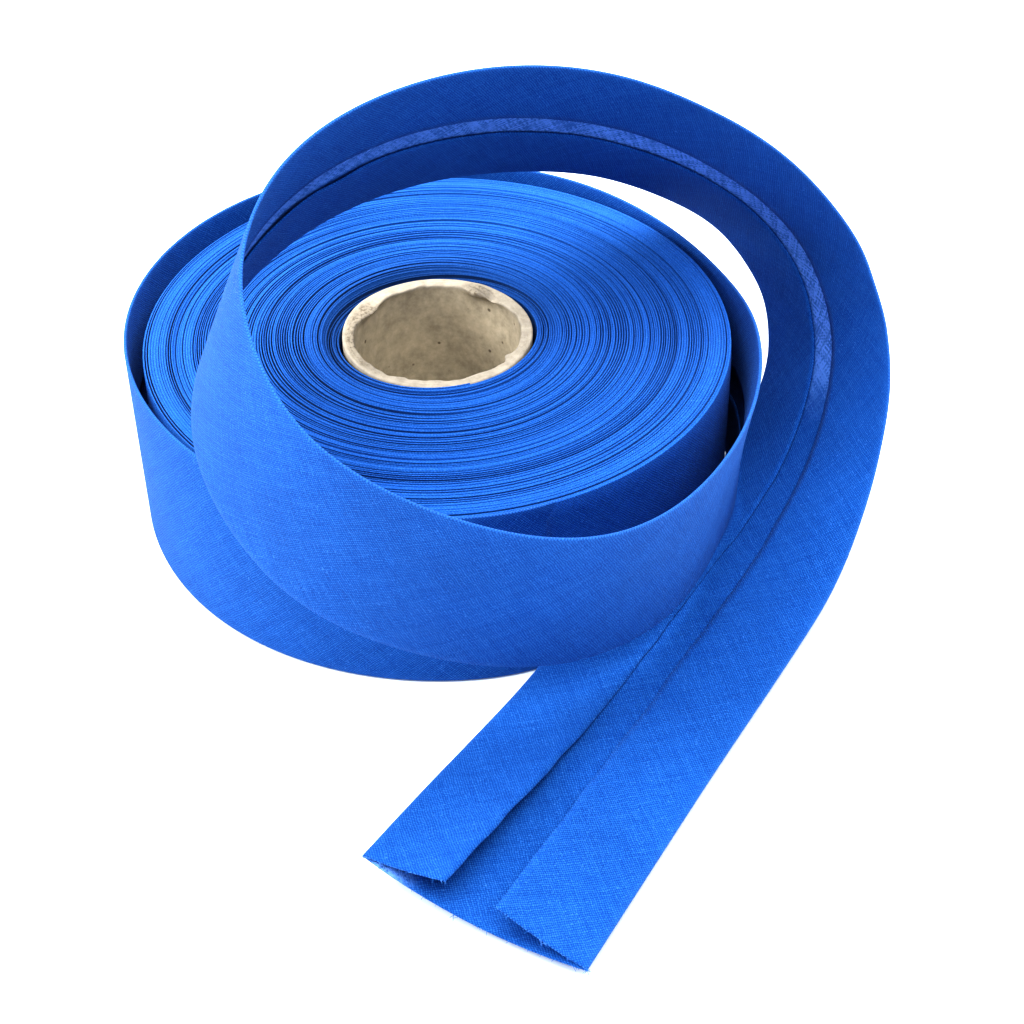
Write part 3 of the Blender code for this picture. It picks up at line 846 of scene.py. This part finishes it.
class BINDING_OT_loose_tape(bpy.types.Operator):
    """Build the tape's loose end: slack turn, loop and tail"""

    bl_idname = "binding.loose_tape"
    bl_label = "Loose tape"

    def execute(self, context):
        tape = context.scene.binding_tape
        frames = tape_frames(0.00115)
        across, inward, flat, inside, rim, total = tape_sections(frames, tape)
        points = (frames["middle"][:, None, :] + frames["across"][:, None, :] * across[:, :, None]
                  + frames["inward"][:, None, :] * inward[:, :, None])
        rows, columns = across.shape
        points, faces = cloth_shell(points, tape.cloth)
        maps = np.stack([flat, frames["run"][:, None] * np.ones_like(flat)], axis=2)
        uv = maps.reshape(-1, 2)[faces.ravel() % (rows * columns)]
        left = total - frames["run"][:, None]
        # Painted light: a pale strip between the flaps where light would come through one layer, and a pale
        # corner by the cut end where the table would show through the weave.
        painted_backlight = inside * ease(left, *LIT_STRIP[0]) * (1.0 - ease(left, *LIT_STRIP[1]))
        painted_backlight = painted_backlight * (1.0 - 0.3 * ease(left, 0.20, 0.30))
        corner = (1.0 - ease(left, 0.006, 0.014)) * (1.0 - ease(across, -0.0165, -0.0105))
        corner[:, :18] = 0.0
        corner[:, 45:] = 0.0
        painted_backlight = np.maximum(painted_backlight, corner)
        painted_backlight = np.concatenate([np.zeros(painted_backlight.size), painted_backlight.ravel()])
        piece = mesh_piece("loose_tape", points, faces, uv=uv, attributes=(
            ("painted_backlight", painted_backlight), ("rim", np.tile(rim.ravel(), 2))))
        piece.data.materials.append(cotton_finish("cotton_tape", tape))
        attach(piece, "root")
        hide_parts("loose_end")
        fringe = self.cut_threads(frames, across, inward, tape)
        return {'FINISHED'}

    def cut_threads(self, frames, across, inward, tape):
        """Thread ends that stand out of the cut, along both directions of the weave."""
        rng = np.random.default_rng(61)
        count = FRAYED_THREADS
        pick = np.clip(rng.uniform(0.0, across.shape[1] - 1.001, count), 0.0, None)
        low, part = pick.astype(int), (pick % 1.0)[:, None]
        edge = (frames["middle"][-1] + frames["across"][-1] * across[-1][:, None]
                + frames["inward"][-1] * inward[-1][:, None])
        starts = edge[low] * (1.0 - part) + edge[low + 1] * part
        side = edge[low + 1] - edge[low]
        side /= np.linalg.norm(side, axis=1)[:, None]
        along = frames["along"][-1][None, :]
        ways = along + side * rng.choice([-1.0, 1.0], (count, 1)) * rng.uniform(0.5, 1.3, (count, 1))
        starts = starts - along * 0.0002
        lengths = 0.0003 + 0.0009 * rng.uniform(0.0, 1.0, count) ** 2.5
        points, faces, ends = strands(starts, ways, lengths, 0.00006, 67)
        points[:, 2] = np.maximum(points[:, 2], 0.0001)
        fringe = mesh_piece("cut_threads", points, faces, extra_faces=ends)
        fringe.data.materials.append(thread_finish("cut_threads", tape))
        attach(fringe, "root")
        return fringe


class BINDING_OT_core_tube(bpy.types.Operator):
    """Build the cardboard tube with its torn rim"""

    bl_idname = "binding.core_tube"
    bl_label = "Core tube"

    def execute(self, context):
        core = context.scene.binding_core
        points, faces, cut, torn = core_surface(core)
        piece = mesh_piece("core_tube", points, faces, attributes=(("cut", cut), ("torn", torn)))
        piece.data.materials.append(board_finish("cardboard", core))
        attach(piece, "root")
        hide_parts("core")
        return {'FINISHED'}


class BINDING_OT_stage(bpy.types.Operator):
    """Set the floor, the lights and the camera"""

    bl_idname = "binding.stage"
    bl_label = "Stage"

    def execute(self, context):
        scene, stage = context.scene, context.scene.binding_stage
        mesh = bpy.data.meshes.new("floor")
        corners = ((-1.0, -1.0), (1.0, -1.0), (1.0, 1.0), (-1.0, 1.0))
        mesh.from_pydata(
            [(x * FLOOR_REACH, y * FLOOR_REACH, FLOOR_LEVEL) for x, y in corners], [], [(0, 1, 2, 3)])
        floor = bpy.data.objects.new("floor", mesh)
        scene.collection.objects.link(floor)
        material, _, shader = new_finish("pale_floor")
        shader.inputs["Base Color"].default_value = (*stage.floor_colour, 1.0)
        shader.inputs["Roughness"].default_value = 0.9
        shader.inputs["Emission Color"].default_value = (0.90, 0.96, 1.0, 1.0)
        shader.inputs["Emission Strength"].default_value = 0.08
        mesh.materials.append(material)
        middle = AXIS + np.array([0.0, 0.0, 0.03])
        for name, place, size, power in (
                ("key_light", (0.05, -0.08, 1.00), 1.60, stage.key_power),
                ("side_light", (-1.00, -0.10, 0.60), 0.70, stage.fill_power)):
            light = bpy.data.lights.new(name, 'AREA')
            light.shape = 'DISK'
            light.size = size
            light.energy = power
            lamp = bpy.data.objects.new(name, light)
            scene.collection.objects.link(lamp)
            spot = middle + np.array(place)
            lamp.location = spot
            aim = middle - spot
            lamp.rotation_euler = (
                math.atan2(math.hypot(aim[0], aim[1]), -aim[2]), 0.0, math.atan2(aim[0], -aim[1]) + math.pi)
        world = bpy.data.worlds.new("studio")
        scene.world = world
        world.use_nodes = True
        back = world.node_tree.nodes["Background"]
        back.inputs["Color"].default_value = (0.95, 0.98, 1.0, 1.0)
        back.inputs["Strength"].default_value = 0.55
        lens = bpy.data.cameras.new("camera")
        lens.sensor_width = SENSOR
        lens.lens = CAMERA_LENS
        lens.clip_start, lens.clip_end = 0.01, 20.0
        camera = bpy.data.objects.new("camera", lens)
        scene.collection.objects.link(camera)
        camera.location = AXIS + np.array(CAMERA_PLACE)
        tilt, roll = CAMERA_TILT, CAMERA_ROLL
        camera.rotation_mode = 'QUATERNION'
        camera.rotation_quaternion = (
            math.cos(tilt / 2) * math.cos(roll / 2), math.sin(tilt / 2) * math.cos(roll / 2),
            -math.sin(tilt / 2) * math.sin(roll / 2), math.cos(tilt / 2) * math.sin(roll / 2))
        scene.camera = camera
        scene.view_settings.view_transform = 'Standard'
        scene.view_settings.look = 'High Contrast'
        return {'FINISHED'}


class BINDING_PT_panel(bpy.types.Panel):
    """Lists the pieces of the roll in the sidebar"""

    bl_idname = "BINDING_PT_panel"
    bl_label = "Bias Binding Roll"
    bl_space_type = 'VIEW_3D'
    bl_region_type = 'UI'
    bl_category = "Binding"

    def draw(self, context):
        scene = context.scene
        for settings, operator in (
                (scene.binding_core, "binding.core_tube"), (scene.binding_roll, "binding.wound_roll"),
                (scene.binding_tape, "binding.loose_tape"), (scene.binding_stage, "binding.stage")):
            box = self.layout.box()
            for label in settings.__annotations__:
                box.prop(settings, label)
            box.operator(operator)


CLASSES = (
    RollSettings, TapeSettings, CoreSettings, StageSettings,
    BINDING_OT_core_tube, BINDING_OT_wound_roll, BINDING_OT_loose_tape,
    BINDING_OT_stage, BINDING_PT_panel,
)
SETTINGS = (
    ("binding_roll", RollSettings), ("binding_tape", TapeSettings),
    ("binding_core", CoreSettings), ("binding_stage", StageSettings),
)


def register():
    for cls in CLASSES:
        bpy.utils.register_class(cls)
    for label, cls in SETTINGS:
        setattr(bpy.types.Scene, label, bpy.props.PointerProperty(type=cls))


def unregister():
    for label, _ in SETTINGS:
        delattr(bpy.types.Scene, label)
    for cls in reversed(CLASSES):
        bpy.utils.unregister_class(cls)


def main():
    """Register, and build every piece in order."""
    register()
    bpy.ops.binding.core_tube()
    bpy.ops.binding.wound_roll()
    bpy.ops.binding.loose_tape()
    bpy.ops.binding.stage()
    bpy.context.view_layer.update()


if __name__ == "__main__":
    main()
